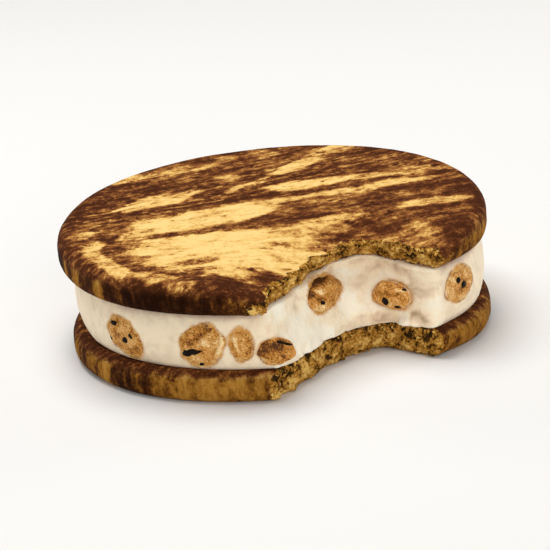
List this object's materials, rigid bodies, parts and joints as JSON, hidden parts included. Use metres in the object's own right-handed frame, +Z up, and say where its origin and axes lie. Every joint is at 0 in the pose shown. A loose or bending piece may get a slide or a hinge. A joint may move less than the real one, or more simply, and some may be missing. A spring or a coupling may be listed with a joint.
{
  "type": "ice cream sandwich",
  "caption": "Round ice cream sandwich of marbled cookies and vanilla ice cream with lumps of cookie dough, lying flat, with a bite taken from its edge.",
  "frame": {"origin": "middle of the footprint, on the surface that the sandwich lies on", "axes": "+Z up through the layers; the bite faces -Y and +X"},
  "size_m": [0.0848, 0.0848, 0.0262],
  "materials": {
    "marbled_cookie": "baked crumb, chocolate brown marbled with golden vanilla",
    "ice_cream": "smooth cream white, soft sheen, icy where bitten",
    "cookie_dough": "grainy tan dough",
    "chocolate": "dark chocolate bits"
  },
  "bodies": {
    "root": {"bottom_cookie": "marbled_cookie", "top_cookie": "marbled_cookie", "ice_cream": "ice_cream", "dough_left": "cookie_dough", "dough_front_large": "cookie_dough", "dough_front_small": "cookie_dough", "dough_front_flat": "cookie_dough", "dough_right": "cookie_dough", "dough_far_right": "cookie_dough", "dough_back_right": "cookie_dough", "dough_back": "cookie_dough", "dough_back_left": "cookie_dough", "dough_far_left": "cookie_dough", "dough_bite_round": "cookie_dough", "dough_bite_oval": "cookie_dough"}
  },
  "joints": []
}
